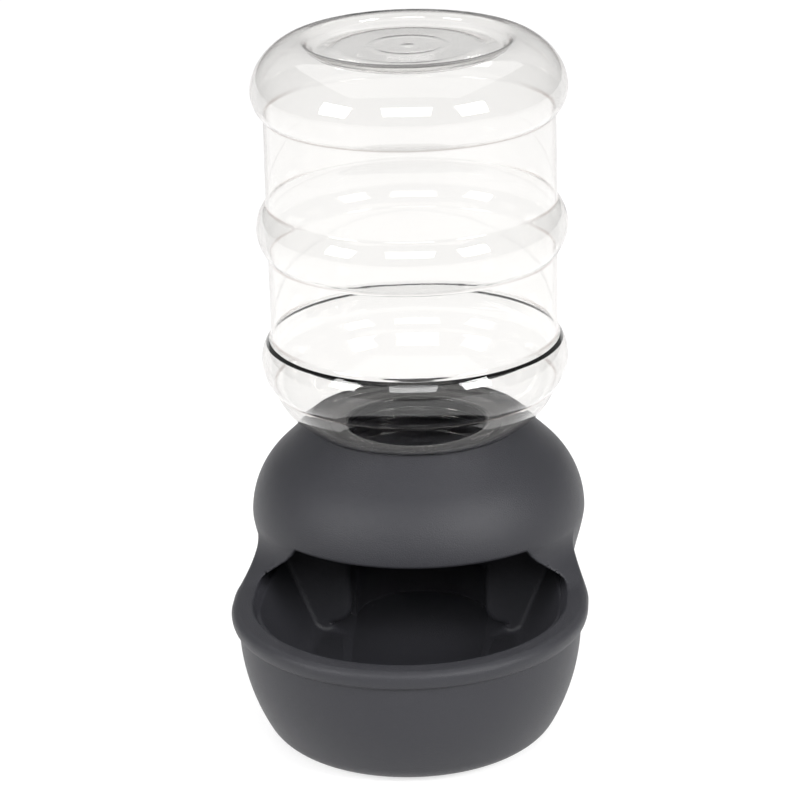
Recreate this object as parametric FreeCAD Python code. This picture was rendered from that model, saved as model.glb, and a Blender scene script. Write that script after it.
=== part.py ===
import FreeCAD, Part
import math
import os

from FreeCAD import Matrix, Vector

# Gravity pet water dispenser: a one-piece hollow moulded base, and a clear bottle upside down in its collar.
# Millimetres, +Z up, the drinking bowl towards -Y, the floor at z = 0.

# Overall places
HOOD_RADIUS = 90.0
LIP_RADIUS = 93.5
BOWL_AHEAD = 80.0
AXIS_Y = (BOWL_AHEAD + LIP_RADIUS - HOOD_RADIUS) / 2
BOWL_Y = AXIS_Y - BOWL_AHEAD

# Base: walls and floor
WALL = 2.6
FOOT_STANDOFF = 1.0
FLOOR_WALL = 3.4

# Base: outer skirt under the lip
STEP_Z = 62.4
BOWL_SKIRT_RADIUS = 89.7
REAR_SKIRT_RADIUS = 82.9
SKIRT_CURVE = 109.0
REAR_TAPER_DEG = 14.0
BOTTOM_ROUND = 18.0
WAIST_RADIUS = 24.0

# Base: lip and rim round the bowl
LIP_UNDERCUT = 0.8
RIM_TOP_Z = 72.4
RIM_FLAT_RADIUS = 88.2
RIM_EDGE_ROUND = 2.4
SADDLE_RADIUS = 22.0
SADDLE_WALL_RADIUS = 86.5

# Base: hood over the back of the bowl
HOOD_WIDEST_Z = 93.2
HOOD_CURVE = 47.5
HOOD_TURN_DEG = 46.0
HOOD_WALL = 3.6
COLLAR_RIM_RADIUS = 58.3
COLLAR_RIM_LAND = 0.8
SHOULDER_CLEARANCE = 0.6
EAVE_RADIUS = 86.4
EAVE_Z = 80.0

# Base: drinking bowl
BASIN_RADIUS = 78.6
BASIN_SLOPE_DEG = 22.0
BASIN_FLOOR_Z = 27.0
BASIN_FLOOR_ROUND = 7.0
BASIN_BACK_NARROWING = 6.5
PANEL_AHEAD = 20.0
WINDOW_TOP_HALF = 63.5
WINDOW_CORNER_Z = 77.0
WINDOW_CORNER_HALF = 72.5

# Base: chamber under the bottle and its throat into the bowl
THROAT_HALF = 36.5
THROAT_TOP_Z = 65.0
THROAT_CORNER = 10.0
CHANNEL_Z = 23.3
CHANNEL_FRONT_HALF = 29.0
CHANNEL_REACH = 125.0
CHAMBER_BACK = 8.0
SHELF_Z = 112.0

# Bottle
BOTTLE_WALL = 1.0
NECK_RADIUS = 38.5
NECK_LENGTH = 20.0
NECK_WALL = 1.6
NECK_CLEARANCE = 1.0
SEAL_GAP = 0.3
BOTTLE_SINK = 2.27
SHOULDER_FLAT_RADIUS = 50.0
CREASE_RADIUS = 76.3
CREASE_RISE = 24.6
SHOULDER_BELLY_INSET = 11.5
SHOULDER_BELLY_RISE = 7.6
CYLINDER_RADIUS = 76.5
RING_RADIUS = 82.0
LOW_RING_TOP_RISE = 53.8
MID_RING_RISE = 95.1
MID_RING_HEIGHT = 32.5
TOP_RING_RISE = 172.6
TOP_BULGE_RADIUS = 83.1
TOP_BULGE_RISE = 186.6
CREST_RADIUS = 57.0
CREST_RISE = 213.1
RECESS_RADIUS = 50.5
RECESS_DEPTH = 6.5
PANEL_RADIUS = 36.0
PANEL_RISE = 1.6

# Neck seal
SEAL_THICKNESS = 2.0
SEAL_OUTER_RADIUS = 46.0
SEAL_PROUD = 0.6

# Rubber feet
FOOT_RADIUS = 8.0
FOOT_CLEARANCE = 0.1
FOOT_SINK = 1.4
STEM_RADIUS = 3.0
STEM_HEAD_RADIUS = 4.2
STEM_HEAD_HEIGHT = 2.0
FRONT_FOOT = (38.0, 30.0)
REAR_FOOT = (28.0, 22.0)

AXIS = Vector(0, AXIS_Y, 0)
BOWL = Vector(0, BOWL_Y, 0)
UP = Vector(0, 0, 1)
PANEL_Y = AXIS_Y - PANEL_AHEAD
HOOD_TURN = math.radians(HOOD_TURN_DEG)
CONE_RADIUS = HOOD_RADIUS - HOOD_CURVE + HOOD_CURVE * math.cos(HOOD_TURN)
CONE_Z = HOOD_WIDEST_Z + HOOD_CURVE * math.sin(HOOD_TURN)
COLLAR_Z = CONE_Z + (CONE_RADIUS - COLLAR_RIM_RADIUS) / math.tan(HOOD_TURN)
BOTTLE_Z = COLLAR_Z - BOTTLE_SINK
TOP_BULGE_Z = BOTTLE_Z + TOP_BULGE_RISE
CREST_Z = BOTTLE_Z + CREST_RISE
BORE_RADIUS = NECK_RADIUS + NECK_CLEARANCE
SEAL_Z = BOTTLE_Z - SEAL_GAP - SEAL_THICKNESS
SEAT_Z = SEAL_Z + SEAL_THICKNESS - SEAL_PROUD
FAR = 400.0


def arc(a, b, c):
    """Edge through three points."""
    return Part.Arc(a, b, c).toShape()


def line(a, b):
    """Straight edge."""
    return Part.makeLine(a, b)


def spline(points, closed=False):
    """Smooth edge through the points."""
    curve = Part.BSplineCurve()
    curve.interpolate(Points=points, PeriodicFlag=closed)
    return curve.toShape()


def turned(edges, centre):
    """Solid of revolution about the upright axis at centre; the edges are drawn at y = 0, x = radius."""
    face = Part.Face(Part.Wire(edges))
    face.translate(centre)
    return face.revolve(centre, UP, 360)


def outline(points):
    """Closed chain of straight edges."""
    return [line(p, q) for p, q in zip(points, points[1:] + points[:1])]


def rz(radius, z):
    """Point of a turned profile."""
    return Vector(radius, 0, z)


def arc_edge(centre, radius, start_deg, end_deg):
    """Arc of a turned profile about (radius, z) centre, angles from +X towards +Z."""
    points = []
    for t in (0, 0.5, 1):
        angle = math.radians(start_deg + (end_deg - start_deg) * t)
        points.append(rz(centre[0] + radius * math.cos(angle), centre[1] + radius * math.sin(angle)))
    return arc(*points)


def both_sides(shape):
    """The shape and its mirror image across X = 0."""
    return [shape, shape.mirror(Vector(0, 0, 0), Vector(1, 0, 0))]


# Outer form of the base


def bottom_rounded(z, wall_radius, tangent_deg, offset, bottom_z):
    """Radius at height z of a wall that turns into the flat bottom by a round corner."""
    corner = max(BOTTOM_ROUND - offset, 1.0)
    centre_z = bottom_z + corner
    tangent_z = centre_z - corner * math.sin(math.radians(tangent_deg))
    if z >= tangent_z:
        return wall_radius(z)
    centre_radius = wall_radius(tangent_z) - corner * math.cos(math.radians(tangent_deg))
    return centre_radius + math.sqrt(max(corner ** 2 - (centre_z - z) ** 2, 0))


def bowl_skirt(z, offset, bottom_z):
    """Radius of the skirt round the bowl: an arc, upright at the step."""
    def wall(height):
        drop = STEP_Z - min(height, STEP_Z)
        return BOWL_SKIRT_RADIUS - offset - SKIRT_CURVE + math.sqrt(SKIRT_CURVE ** 2 - drop ** 2)
    tangent = math.degrees(math.asin((STEP_Z - BOTTOM_ROUND * 0.55) / SKIRT_CURVE))
    return bottom_rounded(z, wall, tangent, offset, bottom_z)


def rear_skirt(z, offset, bottom_z):
    """Radius of the skirt round the bottle axis: a straight taper."""
    def wall(height):
        return REAR_SKIRT_RADIUS - offset - (STEP_Z - min(height, STEP_Z)) * math.tan(math.radians(REAR_TAPER_DEG))
    return bottom_rounded(z, wall, REAR_TAPER_DEG, offset, bottom_z)


def plan_points(bowl_radius, rear_radius, waist, z):
    """Closed plan of two circles joined by a hollow waist arc on each side."""
    reach = ((rear_radius + waist) ** 2 - (bowl_radius + waist) ** 2 + BOWL_AHEAD ** 2) / (2 * BOWL_AHEAD)
    side = math.sqrt((rear_radius + waist) ** 2 - reach ** 2)
    waist_y = AXIS_Y - reach
    bowl_turn = math.atan2(waist_y - BOWL_Y, side)
    rear_turn = math.atan2(waist_y - AXIS_Y, side)
    spans = [
        (0, BOWL_Y, bowl_radius, -math.pi / 2, bowl_turn, 18),
        (side, waist_y, waist, math.pi + bowl_turn, math.pi + rear_turn, 6),
        (0, AXIS_Y, rear_radius, rear_turn, math.pi / 2, 14),
    ]
    right = []
    for x, y, radius, start, end, count in spans:
        for i in range(count):
            angle = start + (end - start) * i / count
            right.append(Vector(x + radius * math.cos(angle), y + radius * math.sin(angle), z))
    back = Vector(0, AXIS_Y + rear_radius, z)
    left = [Vector(-p.x, p.y, z) for p in reversed(right[1:])]
    return right + [back] + left


def skirt_solid(offset, bottom_z, top_z):
    """Skirt, or its inner wall when offset inwards, as one skin over level plans."""
    corner = BOTTOM_ROUND - offset
    levels = [bottom_z + corner * t for t in (0, 0.04, 0.14, 0.32, 0.6, 0.95)]
    steps = 5
    levels += [levels[-1] + (top_z - levels[-1]) * (i + 1) / steps for i in range(steps)]
    wires = []
    for z in levels:
        bowl = bowl_skirt(z, offset, bottom_z)
        rear = rear_skirt(z, offset, bottom_z)
        wires.append(Part.Wire(spline(plan_points(bowl, rear, WAIST_RADIUS + offset, z), True)))
    return Part.makeLoft(wires, True, False)


def rear_wall_radius(z):
    """Radius of the wall under the hood, above the step."""
    return REAR_SKIRT_RADIUS + 0.5 + (EAVE_RADIUS - REAR_SKIRT_RADIUS - 0.5) * (z - STEP_Z) / (EAVE_Z - STEP_Z)


def rear_wall_solid():
    """Wall that carries the hood, swelling into its eave."""
    top_z = HOOD_WIDEST_Z + 4
    eave = spline([
        rz(rear_wall_radius(STEP_Z), STEP_Z),
        rz(rear_wall_radius(STEP_Z + 9), STEP_Z + 9),
        rz(EAVE_RADIUS, EAVE_Z),
        rz(EAVE_RADIUS + 2.2, EAVE_Z + 6),
        rz(HOOD_RADIUS - 0.3, HOOD_WIDEST_Z - 3),
        rz(HOOD_RADIUS - 0.6, HOOD_WIDEST_Z + 1),
        rz(HOOD_RADIUS - 2.0, top_z),
    ])
    first, last = rz(0, STEP_Z), rz(0, top_z)
    return turned([line(first, eave.Vertexes[0].Point), eave, line(eave.Vertexes[-1].Point, last), line(last, first)], AXIS)


def hood_profile(offset):
    """Outer line of the hood, offset inwards, from the widest ring up to the collar rim."""
    side = arc_edge((HOOD_RADIUS - HOOD_CURVE, HOOD_WIDEST_Z), HOOD_CURVE - offset, 0, HOOD_TURN_DEG)
    start = rz(CONE_RADIUS - offset * math.cos(HOOD_TURN), CONE_Z - offset * math.sin(HOOD_TURN))
    end_radius = COLLAR_RIM_RADIUS - offset * 0.3
    end = rz(end_radius, start.z + (start.x - end_radius) / math.tan(HOOD_TURN))
    return side, start, end


def hood_solid():
    """Filled hood: dome side, collar rim and a rounded lower edge."""
    bead = HOOD_WALL / 2
    side, start, end = hood_profile(0)
    low = rz(0, HOOD_WIDEST_Z - bead)
    under = rz(HOOD_RADIUS - bead, HOOD_WIDEST_Z - bead)
    edge = arc_edge((HOOD_RADIUS - bead, HOOD_WIDEST_Z), bead, -90, 0)
    top = rz(0, end.z)
    return turned([line(low, under), edge, side, line(start, end), line(end, top), line(top, low)], AXIS)


def hood_inside():
    """Space under the hood."""
    side, start, end = hood_profile(HOOD_WALL)
    roof_z = SEAT_Z - WALL - 1
    share = (roof_z - start.z) / (end.z - start.z)
    corner = rz(start.x + (end.x - start.x) * share, roof_z)
    low_z = HOOD_WIDEST_Z - HOOD_WALL
    inner = HOOD_RADIUS - HOOD_WALL
    points = [rz(0, low_z), rz(inner, low_z), rz(inner, HOOD_WIDEST_Z)]
    edges = [line(points[0], points[1]), line(points[1], points[2]), side, line(start, corner)]
    edges += [line(corner, rz(0, roof_z)), line(rz(0, roof_z), points[0])]
    return turned(edges, AXIS)


# Rim, with its saddles up to the hood


def saddle_rise(from_axis):
    """Height of the rim above its level part, this far from the bottle axis."""
    run = max(SADDLE_WALL_RADIUS + SADDLE_RADIUS - from_axis, 0)
    steep = SADDLE_RADIUS * 0.92
    curved = min(run, steep)
    slope = steep / math.sqrt(SADDLE_RADIUS ** 2 - steep ** 2)
    return SADDLE_RADIUS - math.sqrt(SADDLE_RADIUS ** 2 - curved ** 2) + (run - curved) * slope


def axis_distance(radius, turn):
    """Distance from the bottle axis to the point at this radius and turn round the bowl."""
    return math.hypot(radius * math.cos(turn), radius * math.sin(turn) - BOWL_AHEAD)


def rear_wall_reach(turn, z):
    """Distance from the bowl centre, along this turn, to the far side of the rear wall."""
    wall = rear_wall_radius(z)
    along = BOWL_AHEAD * math.sin(turn)
    off_line = BOWL_AHEAD * math.cos(turn)
    return along + math.sqrt(wall ** 2 - off_line ** 2) if wall > off_line else 0.0


def soft_max(a, b, blend):
    """Larger of two lengths, with a rounded change from one to the other."""
    mix = max(blend - abs(a - b), 0) / blend
    return max(a, b) + mix * mix * blend / 4


def rim_section(turn):
    """Upright section of the rim at this turn round the bowl centre, as one wire of three edges."""
    heights = [(0, LIP_RADIUS - 1.2, 0), (0.9, LIP_RADIUS - 0.3, 0.03), (4.2, LIP_RADIUS, 0.4)]
    heights += [(7.4, LIP_RADIUS - 1.6, 0.8), (9.4, LIP_RADIUS - 4.4, 0.97), (RIM_TOP_Z - STEP_Z, RIM_FLAT_RADIUS - 1.6, 1)]
    reach = soft_max(LIP_RADIUS, rear_wall_reach(turn, RIM_TOP_Z) - 0.5, 12.0) - LIP_RADIUS
    outer = []
    for height, radius, share in heights:
        rise = saddle_rise(axis_distance(radius + reach, turn)) * share
        outer.append((radius + reach, STEP_Z + height + rise))
    for radius in (84.5, 81.0, 77.0):
        outer.append((radius, RIM_TOP_Z + saddle_rise(axis_distance(radius, turn))))
    inner_radius = 72.0
    inner_z = RIM_TOP_Z + saddle_rise(axis_distance(inner_radius, turn))
    outer.append((inner_radius, inner_z))

    def place(radius, z):
        return Vector(radius * math.cos(turn), BOWL_Y + radius * math.sin(turn), z)

    top = spline([place(r, z) for r, z in outer])
    low = place(inner_radius, STEP_Z)
    return Part.Wire([top, line(place(inner_radius, inner_z), low), line(low, place(outer[0][0], STEP_Z))])


def rim_solid():
    """Lip, rim top and both saddles as one skin round the bowl, open at the back."""
    last = 34.0
    count = 48
    turns = [math.radians(-90 - (90 + last) + 2 * (90 + last) * i / count) for i in range(count + 1)]
    return Part.makeLoft([rim_section(turn) for turn in turns], True, False)


# Water side of the base


def basin_radius(z):
    """Half-width of the bowl's inside at height z."""
    return BASIN_RADIUS - (RIM_TOP_Z - RIM_EDGE_ROUND - z) * math.tan(math.radians(BASIN_SLOPE_DEG))


def basin_level(radius, z):
    """Plan of the bowl's inside: round in front, with straight sides back to the panels."""
    back = radius - BASIN_BACK_NARROWING
    side = Vector(radius, BOWL_Y, z)
    corner = Vector(back, PANEL_Y, z)
    front = arc(side, Vector(0, BOWL_Y - radius, z), Vector(-radius, BOWL_Y, z))
    edges = [front, line(Vector(-radius, BOWL_Y, z), Vector(-back, PANEL_Y, z))]
    edges += [line(Vector(-back, PANEL_Y, z), corner), line(corner, side)]
    return Part.Wire(edges)


def basin_solid(offset, top_z):
    """Inside of the bowl, or its outer face when offset, up to top_z."""
    floor_z = BASIN_FLOOR_Z - offset
    start_z = floor_z + BASIN_FLOOR_ROUND
    wall = [(basin_radius(z) + offset, z) for z in (start_z, (start_z + RIM_TOP_Z) / 2, RIM_TOP_Z - RIM_EDGE_ROUND)]
    corner_radius = wall[0][0]
    floor = []
    for degrees in (0, 25, 50, 75):
        angle = math.radians(degrees)
        inset = BASIN_FLOOR_ROUND * 1.1 * (1 - math.sin(angle))
        floor.append((corner_radius - inset, start_z - BASIN_FLOOR_ROUND * math.cos(angle)))
    levels = floor + wall
    if offset == 0:
        edge_z = RIM_TOP_Z - RIM_EDGE_ROUND
        for degrees in (30, 60, 85):
            angle = math.radians(degrees)
            radius = BASIN_RADIUS + RIM_EDGE_ROUND * (1 - math.cos(angle)) + 0.3
            levels.append((radius, edge_z + RIM_EDGE_ROUND * math.sin(angle)))
    levels.append((levels[-1][0], top_z))
    return Part.makeLoft([basin_level(radius, z) for radius, z in levels], True, True)


def drawn_along_y(points, from_y, to_y):
    """Solid of an X, Z outline drawn from one Y to another; each point may be an (x, z, mid x, mid z) arc end."""
    edges = []
    for i, point in enumerate(points):
        follow = points[(i + 1) % len(points)]
        a, b = Vector(point[0], from_y, point[1]), Vector(follow[0], from_y, follow[1])
        if len(follow) == 4:
            edges.append(arc(a, Vector(follow[2], from_y, follow[3]), b))
        else:
            edges.append(line(a, b))
    return Part.Face(Part.Wire(edges)).extrude(Vector(0, to_y - from_y, 0))


def window_solid(top_z):
    """Opening in front, under the hood, as it is drawn out forwards."""
    half = [
        (BASIN_RADIUS + RIM_EDGE_ROUND, RIM_TOP_Z - 0.2),
        (BASIN_RADIUS, WINDOW_CORNER_Z - 2.2),
        (WINDOW_CORNER_HALF + 1.2, WINDOW_CORNER_Z),
        (WINDOW_CORNER_HALF - 1.5, WINDOW_CORNER_Z + 3.0),
        (WINDOW_TOP_HALF, top_z),
    ]
    points = half + [(-x, z) for x, z in reversed(half)]
    return drawn_along_y(points, PANEL_Y, -FAR)


def throat_outline(offset):
    """X, Z outline of the throat: channel, banks, rounded panel corners and roof."""
    half = THROAT_HALF + offset
    bank_z = BASIN_FLOOR_Z + 1.5 - offset
    corner = THROAT_CORNER
    turn = corner * math.sqrt(0.5)
    right = [
        (half - 0.5, CHANNEL_Z - offset),
        (half + corner, bank_z),
        (half, bank_z + corner, half + corner - turn, bank_z + corner - turn),
        (half, THROAT_TOP_Z + offset),
    ]
    left = [(-half, THROAT_TOP_Z + offset), (-half, bank_z + corner)]
    left += [(-half - corner, bank_z, -half - corner + turn, bank_z + corner - turn), (-half + 0.5, CHANNEL_Z - offset)]
    return right + left


def chamber_solid(offset):
    """Throat and chamber under the bottle, with a round back, and the neck bore above."""
    back_y = AXIS_Y + CHAMBER_BACK
    tunnel = drawn_along_y(throat_outline(offset), PANEL_Y - 0.5, back_y)
    height = THROAT_TOP_Z - CHANNEL_Z + 2 * offset
    back = Part.makeCylinder(THROAT_HALF + offset, height, Vector(0, back_y, CHANNEL_Z - offset))
    low_z = THROAT_TOP_Z - 1
    shaft = Part.makeCylinder(BORE_RADIUS + offset, SHELF_Z + WALL - low_z, Vector(0, AXIS_Y, low_z))
    behind = Part.makeBox(FAR, FAR, FAR, Vector(-FAR / 2, PANEL_Y + WALL - offset, 0))
    return tunnel.fuse([back, shaft.common(behind), neck_tube(offset)])


def neck_tube(offset):
    """Full round bore for the bottle's neck, or the outside of its tube when offset."""
    low_z = SHELF_Z + WALL - offset
    return Part.makeCylinder(BORE_RADIUS + offset, SEAT_Z + 1 - low_z, Vector(0, AXIS_Y, low_z))


def channel_solid(offset):
    """Channel in the bowl's floor, narrowing towards the front."""
    def level(y, half, bank):
        top_z = BASIN_FLOOR_Z + 1.5 + (0 if offset == 0 else -offset)
        floor_z = CHANNEL_Z - offset
        points = [Vector(half + offset, y, floor_z), Vector(bank + offset, y, top_z)]
        points += [Vector(-bank - offset, y, top_z), Vector(-half - offset, y, floor_z)]
        return Part.Wire(outline(points))
    front_y = AXIS_Y - CHANNEL_REACH - offset
    back = level(PANEL_Y + 0.5, THROAT_HALF - 0.5, THROAT_HALF + THROAT_CORNER)
    front = level(front_y, CHANNEL_FRONT_HALF, CHANNEL_FRONT_HALF + 2)
    return Part.makeLoft([back, front], True, True)


def seat_cut():
    """Dish in the collar that the bottle's shoulder sinks into, and the ledge for its seal."""
    _, _, rim = hood_profile(0)
    ledge = SEAL_OUTER_RADIUS + 0.5
    shoulder = arc(*shoulder_points()).Curve
    reach = shoulder.Radius + SHOULDER_CLEARANCE

    def dish(radius):
        return rz(radius, shoulder.Center.z - math.sqrt(reach ** 2 - (radius - shoulder.Center.x) ** 2))

    flat_end = shoulder.Center.x + math.sqrt(reach ** 2 - (shoulder.Center.z - SEAT_Z) ** 2)
    edge = dish(COLLAR_RIM_RADIUS - COLLAR_RIM_LAND)
    above = rim.z + 9
    points = [rz(0, SEAL_Z), rz(ledge, SEAL_Z), rz(ledge, SEAT_Z), rz(flat_end, SEAT_Z)]
    edges = [line(p, q) for p, q in zip(points, points[1:])]
    edges.append(arc(points[-1], dish((flat_end + edge.x) / 2), edge))
    points = [edge, rz(edge.x, above), rz(0, above), points[0]]
    edges += [line(p, q) for p, q in zip(points, points[1:])]
    return turned(edges, AXIS)


def water_side():
    """Everything cut from the base on the side that the water touches."""
    front = Part.makeBox(FAR, FAR, FAR, Vector(-FAR / 2, PANEL_Y - FAR, HOOD_WIDEST_Z - HOOD_WALL))
    under_hood = hood_inside().common(front).cut(neck_tube(WALL))
    window = window_solid(HOOD_WIDEST_Z - HOOD_WALL / 2 + 0.05)
    return [basin_solid(0, RIM_TOP_Z + 3), channel_solid(0), window, under_hood, chamber_solid(0), seat_cut()]


def hollow():
    """Sealed space between the outer skin and the water side."""
    floor_z = FOOT_STANDOFF + FLOOR_WALL
    skirt = skirt_solid(WALL, floor_z, STEP_Z)
    back_box = Part.makeBox(FAR, FAR, FAR, Vector(-FAR / 2, PANEL_Y + WALL, STEP_Z - 2))
    tower = Part.makeCylinder(rear_wall_radius(STEP_Z) - WALL - 1.5, HOOD_WIDEST_Z - STEP_Z + 4, Vector(0, AXIS_Y, STEP_Z - 2))
    rear = tower.fuse(hood_inside()).common(back_box)
    inside = skirt.fuse(rear)
    collar = Part.makeCylinder(SEAL_OUTER_RADIUS + 0.5 + WALL, FAR, Vector(0, AXIS_Y, SEAL_Z - WALL))
    chamber = chamber_solid(WALL)
    panel = Part.makeBox(FAR, FAR, FAR, Vector(-FAR / 2, PANEL_Y + WALL - FAR, BASIN_FLOOR_Z - WALL + 4))
    basin = basin_solid(WALL, RIM_TOP_Z + 5)
    basin_back = Part.makeBox(2 * (BASIN_RADIUS - 8), WALL, FAR, Vector(-BASIN_RADIUS + 8, PANEL_Y, BASIN_FLOOR_Z - WALL))
    rear_panel = panel.common(Part.makeCylinder(rear_wall_radius(STEP_Z) - 2, FAR, AXIS))
    return inside.cut([basin, basin_back, channel_solid(WALL), chamber, collar, rear_panel])


def foot_places():
    """Name and centre of each foot."""
    front_x, front_y = FRONT_FOOT
    rear_x, rear_y = REAR_FOOT
    return {
        "foot_front_left": Vector(-front_x, BOWL_Y - front_y, 0),
        "foot_front_right": Vector(front_x, BOWL_Y - front_y, 0),
        "foot_rear_left": Vector(-rear_x, AXIS_Y + rear_y, 0),
        "foot_rear_right": Vector(rear_x, AXIS_Y + rear_y, 0),
    }


def foot_sockets():
    """Recess and stem hole for each foot."""
    cuts = []
    for place in foot_places().values():
        cuts.append(Part.makeCylinder(FOOT_RADIUS + FOOT_CLEARANCE, FOOT_STANDOFF + FOOT_SINK, place))
        cuts.append(Part.makeCylinder(STEM_RADIUS, FOOT_STANDOFF + FLOOR_WALL + 1, place))
    return cuts


def base():
    """One-piece hollow base."""
    skirt = skirt_solid(0, FOOT_STANDOFF, STEP_Z + 2.5)
    shape = skirt.fuse([rim_solid(), rear_wall_solid(), hood_solid()])
    for space in [hollow()] + water_side() + [Part.makeCompound(foot_sockets())]:
        shape = shape.cut([space])
    return shape


# Bottle


def shoulder_points():
    """Start, middle and end of the shoulder arc, from the flat underside to the first crease."""
    belly = rz(CREASE_RADIUS - SHOULDER_BELLY_INSET, BOTTLE_Z + SHOULDER_BELLY_RISE)
    return [rz(SHOULDER_FLAT_RADIUS, BOTTLE_Z), belly, rz(CREASE_RADIUS, BOTTLE_Z + CREASE_RISE)]


def bulge(low, high, radius):
    """Bulging ring between two heights on the bottle's side."""
    return arc(low, rz(radius, (low.z + high.z) / 2), high)


def bottle_edges(offset):
    """Bottle's outer line, or its inner line when offset, from the mouth to the crest axis."""
    neck = NECK_RADIUS - offset * NECK_WALL / BOTTLE_WALL
    side = CYLINDER_RADIUS - offset
    ring = RING_RADIUS - offset
    flat, middle, crease = shoulder_points()
    flat = rz(flat.x, flat.z + offset)
    middle = rz(middle.x - offset * 0.7, middle.z + offset * 0.7)
    crease = rz(crease.x - offset, crease.z + offset * 0.3)
    ring_top = rz(side, BOTTLE_Z + LOW_RING_TOP_RISE)
    mid_low = rz(side, BOTTLE_Z + MID_RING_RISE)
    mid_high = rz(side, mid_low.z + MID_RING_HEIGHT)
    top_low = rz(side, BOTTLE_Z + TOP_RING_RISE)
    bulge_side = rz(TOP_BULGE_RADIUS - offset, TOP_BULGE_Z)
    crest = rz(CREST_RADIUS, CREST_Z - offset)
    shoulder = rz(TOP_BULGE_RADIUS - 1.9 - offset, TOP_BULGE_Z + 9.7)
    turn = rz(TOP_BULGE_RADIUS - 6.7 - offset * 0.8, TOP_BULGE_Z + 17.2 - offset * 0.6)
    brow = rz(CREST_RADIUS + 11.5 - offset * 0.6, CREST_Z - 3.4 - offset * 0.8)
    inner_wall = rz(RECESS_RADIUS + offset * 0.6, CREST_Z - RECESS_DEPTH - offset)
    panel = rz(PANEL_RADIUS, CREST_Z - RECESS_DEPTH + PANEL_RISE - offset)
    top = rz(0, CREST_Z - RECESS_DEPTH + PANEL_RISE + 0.8 - offset)
    mouth = rz(neck, BOTTLE_Z - NECK_LENGTH)
    root = rz(neck, BOTTLE_Z + offset)
    edges = [line(mouth, root), line(root, flat), arc(flat, middle, crease), bulge(crease, ring_top, ring)]
    edges += [line(ring_top, mid_low), bulge(mid_low, mid_high, ring), line(mid_high, top_low)]
    edges += [arc(top_low, rz(bulge_side.x - 2.9, TOP_BULGE_Z - 8.5), bulge_side)]
    edges += [spline([bulge_side, shoulder, turn, brow, crest])]
    dip = rz(CREST_RADIUS - 4.0 + offset * 0.2, CREST_Z - 2.0 - offset)
    edges += [arc(crest, dip, inner_wall), line(inner_wall, panel), line(panel, top)]
    return edges, mouth, top


def bottle():
    """Blown bottle, upside down, open at the neck."""
    solids = []
    for offset in (0, BOTTLE_WALL):
        edges, mouth, top = bottle_edges(offset)
        low = rz(0, mouth.z)
        solids.append(turned(edges + [line(top, low), line(low, mouth)], AXIS))
    return solids[0].cut(solids[1])


def neck_seal():
    """Flat rubber ring on the collar's ledge, round the neck."""
    ring = Part.makeCylinder(SEAL_OUTER_RADIUS, SEAL_THICKNESS, Vector(0, AXIS_Y, SEAL_Z))
    return ring.cut(Part.makeCylinder(BORE_RADIUS + 0.5, SEAL_THICKNESS, Vector(0, AXIS_Y, SEAL_Z)))


def foot(place):
    """Rubber foot with a stem pushed through the floor of the base."""
    pad_height = FOOT_STANDOFF + FOOT_SINK
    floor_z = FOOT_STANDOFF + FLOOR_WALL
    pad = Part.makeCylinder(FOOT_RADIUS, pad_height, place)
    stem = Part.makeCylinder(STEM_RADIUS, floor_z - pad_height, place + Vector(0, 0, pad_height))
    head = Part.makeCone(STEM_HEAD_RADIUS, STEM_RADIUS - 0.8, STEM_HEAD_HEIGHT, place + Vector(0, 0, floor_z))
    return pad.fuse([stem, head])


def build():
    """Every node of the dispenser by name."""
    nodes = {"base": base(), "bottle": bottle(), "neck_seal": neck_seal()}
    for name, place in foot_places().items():
        nodes[name] = foot(place)
    return nodes


os.makedirs("parts", exist_ok=True)
for name, shape in build().items():
    shape.exportStep("parts/" + name + ".step")
    box = shape.BoundBox
    print(name, len(shape.Solids), shape.isValid(), round(shape.Volume / 1000, 1), "cm3",
          [round(v, 1) for v in (box.XMin, box.XMax, box.YMin, box.YMax, box.ZMin, box.ZMax)])
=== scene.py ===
"""Gravity pet water dispenser: a slate-grey base with a drinking bowl, and a clear bottle upside down.

Shapes are worked out in millimetres, -Y towards the bowl, and put into the meshes in metres.
"""
import math

import bmesh
import bpy
import numpy as np
from mathutils import Euler, Matrix, Vector


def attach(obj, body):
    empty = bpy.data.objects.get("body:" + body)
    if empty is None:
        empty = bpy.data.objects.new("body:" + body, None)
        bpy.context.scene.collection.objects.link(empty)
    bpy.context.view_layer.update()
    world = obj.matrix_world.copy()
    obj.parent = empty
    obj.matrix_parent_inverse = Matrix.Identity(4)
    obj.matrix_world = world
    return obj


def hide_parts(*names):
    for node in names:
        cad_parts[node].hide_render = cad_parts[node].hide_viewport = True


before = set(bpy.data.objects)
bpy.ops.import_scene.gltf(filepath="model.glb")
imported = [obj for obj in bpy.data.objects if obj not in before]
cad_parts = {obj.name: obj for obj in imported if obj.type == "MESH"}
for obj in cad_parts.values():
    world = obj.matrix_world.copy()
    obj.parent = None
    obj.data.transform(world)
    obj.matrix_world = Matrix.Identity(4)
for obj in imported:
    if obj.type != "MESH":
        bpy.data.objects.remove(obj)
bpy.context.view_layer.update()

MM = 0.001

# Plan of the base: the bottle's axis, the bowl's centre and the flat panel behind the bowl
HOOD_RADIUS = 90.0
LIP_RADIUS = 93.5
BOWL_AHEAD = 80.0
AXIS_Y = (BOWL_AHEAD + LIP_RADIUS - HOOD_RADIUS) / 2
BOWL_Y = AXIS_Y - BOWL_AHEAD
PANEL_Y = AXIS_Y - 20.0
BOWL_STRETCH = 7.5

# Outside of the base
BOTTOM_Z = 1.0
BOTTOM_CORNER = 18.0
SKIRT_RADIUS = 89.7
REAR_RADIUS = 83.0
STEP_Z = 62.4
RIM_Z = 72.35
LIP_ROUND = 4.0
HOOD_Z = 93.2
HOOD_CURVE = 47.5
HOOD_END_DEG = 46
HOOD_WALL = 4.0
COLLAR_EDGE = (57.4, 143.4)
SADDLE = 18.0
WAIST = 12.0
EDGE_ROUND = 1.9

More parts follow.
